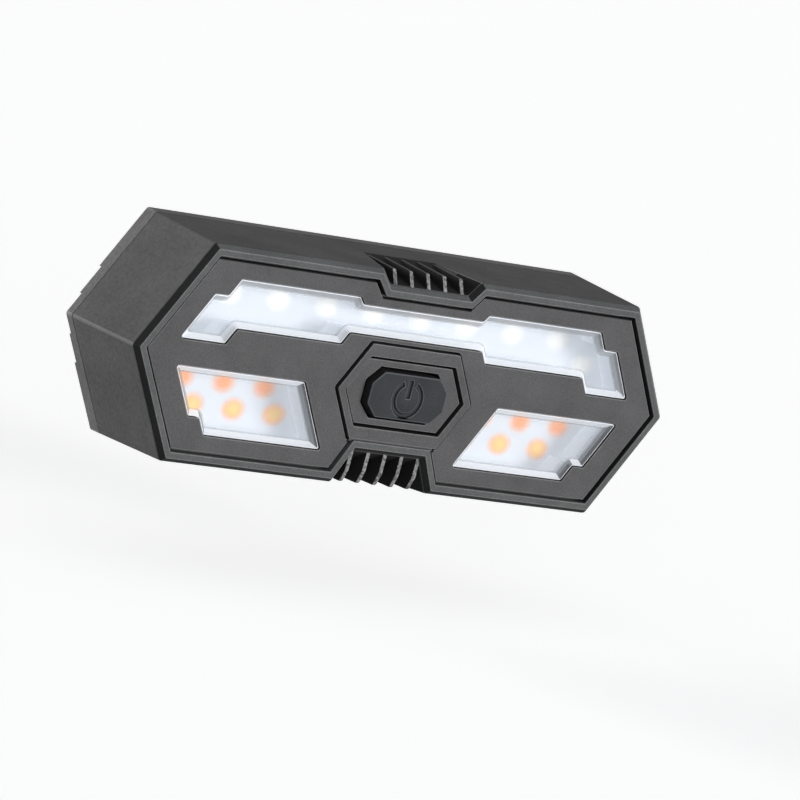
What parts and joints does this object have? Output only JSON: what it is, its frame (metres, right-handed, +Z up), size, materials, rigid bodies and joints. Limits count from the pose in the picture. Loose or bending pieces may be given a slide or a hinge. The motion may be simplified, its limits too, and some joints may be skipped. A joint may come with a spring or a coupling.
{
  "type": "bicycle tail light",
  "caption": "Hexagonal bicycle tail light with turn indicators, a push button and ribbed notches, on a slide-off seat post bracket with a rubber strap.",
  "frame": {"origin": "on the seat post's axis, at the middle of the light's and the strap's height", "axes": "+Z up along the seat post, -Y the way the light shines, +X along its length"},
  "size_m": [0.105, 0.0597, 0.0352],
  "materials": {
    "shell": "fine matt texture",
    "face": "fine matt texture",
    "cap": "satin",
    "lens": "frosted, translucent",
    "divider": "white, matt",
    "board": "green solder mask",
    "red_chip": "pale phosphor",
    "amber_chip": "amber phosphor",
    "switch": "gloss",
    "plunger": "gloss",
    "cell": "foil pouch",
    "foam": "closed-cell foam",
    "leads": "silicone insulation",
    "port": "plated",
    "rubber": "matt",
    "screw": "black oxide",
    "bracket": "fine matt texture",
    "spring": "rolled"
  },
  "bodies": {
    "bracket": {"saddle": "bracket", "saddle_pad": "rubber", "post_strap": "rubber", "strap_pins": "screw", "snap_spring": "spring", "spring_rivet": "screw"},
    "light": {"housing": "shell", "rear_cover": "shell", "case_gasket": "rubber", "case_screws": "screw", "front_bezel": "shell", "front_panel": "face", "upper_lens": "lens", "left_lens": "lens", "right_lens": "lens", "button_ring": "face", "button_surround": "face", "led_board": "board", "light_divider": "divider", "board_screws": "screw", "tail_leds": "red_chip", "left_turn_leds": "amber_chip", "right_turn_leds": "amber_chip", "tact_switch": "switch", "battery": "cell", "battery_pad": "foam", "battery_leads": "leads", "receiver_board": "board", "usb_socket": "port", "rail_socket": "bracket", "rail_screws": "screw"},
    "button": {"button_cap": "cap", "switch_plunger": "plunger"},
    "flap": {"port_cover": "rubber"}
  },
  "joints": [
    {"name": "light_slide", "type": "slide", "parent": "bracket", "child": "light", "axis": [0, 0, 1], "range_m": [0, 0.021], "deforming": ["snap_spring"]},
    {"name": "button_press", "type": "slide", "parent": "light", "child": "button", "axis": [0, 1, 0], "range_m": [0, 0.0005], "stiffness_N_per_m": 2000, "springref_m": -0.0008},
    {"name": "port_cover_swing", "type": "hinge", "parent": "light", "child": "flap", "pos_m": [0.02303, -0.0334, -0.01665], "axis": [0, 1, 0], "range_deg": [0, 100]}
  ]
}
